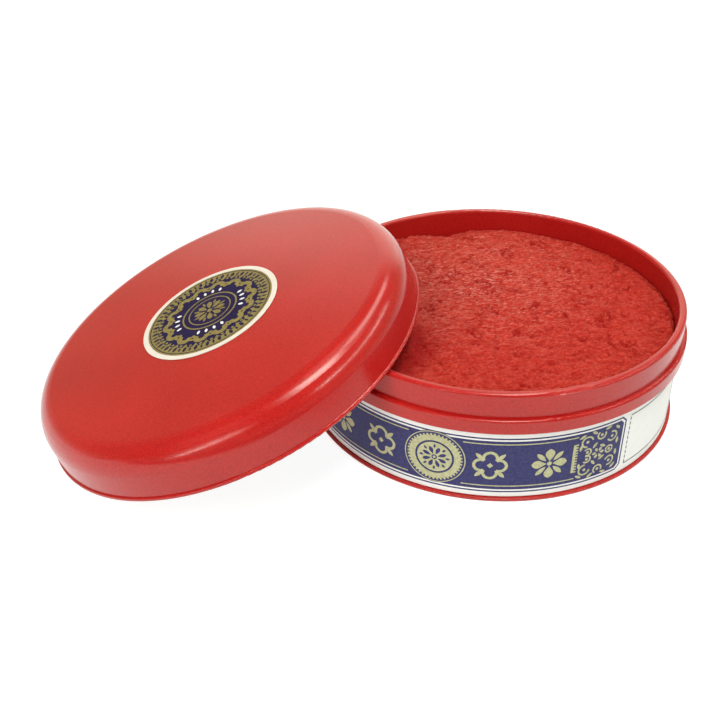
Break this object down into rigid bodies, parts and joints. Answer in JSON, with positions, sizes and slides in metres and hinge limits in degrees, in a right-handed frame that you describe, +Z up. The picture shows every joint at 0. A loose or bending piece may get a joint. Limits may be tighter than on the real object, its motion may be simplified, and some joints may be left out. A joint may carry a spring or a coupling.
{
  "type": "seal paste box",
  "caption": "Round moulded seal paste box, open, with its shallow lid leaning on the rim, the paste inside and paper labels on the side and lid.",
  "frame": {"origin": "centre of the case's flat underside, on the surface that it stands on", "axes": "+Z up along the case's axis, -X towards the lid that leans on the rim, +Y across, away from the pictured front"},
  "size_m": [0.2113, 0.129, 0.0583],
  "materials": {
    "case_plastic": "gloss",
    "lid_plastic": "gloss",
    "paste": "matte",
    "band_paper": "satin",
    "label_paper": "satin"
  },
  "bodies": {
    "box": {"base_case": "case_plastic", "seal_paste": "paste", "band_label": "band_paper"},
    "lid": {"lid_shell": "lid_plastic", "lid_label": "label_paper"}
  },
  "joints": [
    {"name": "lid_lift", "type": "slide", "parent": "box", "child": "lid", "axis": [0, 0, 1], "range_m": [0, 0.06]}
  ]
}
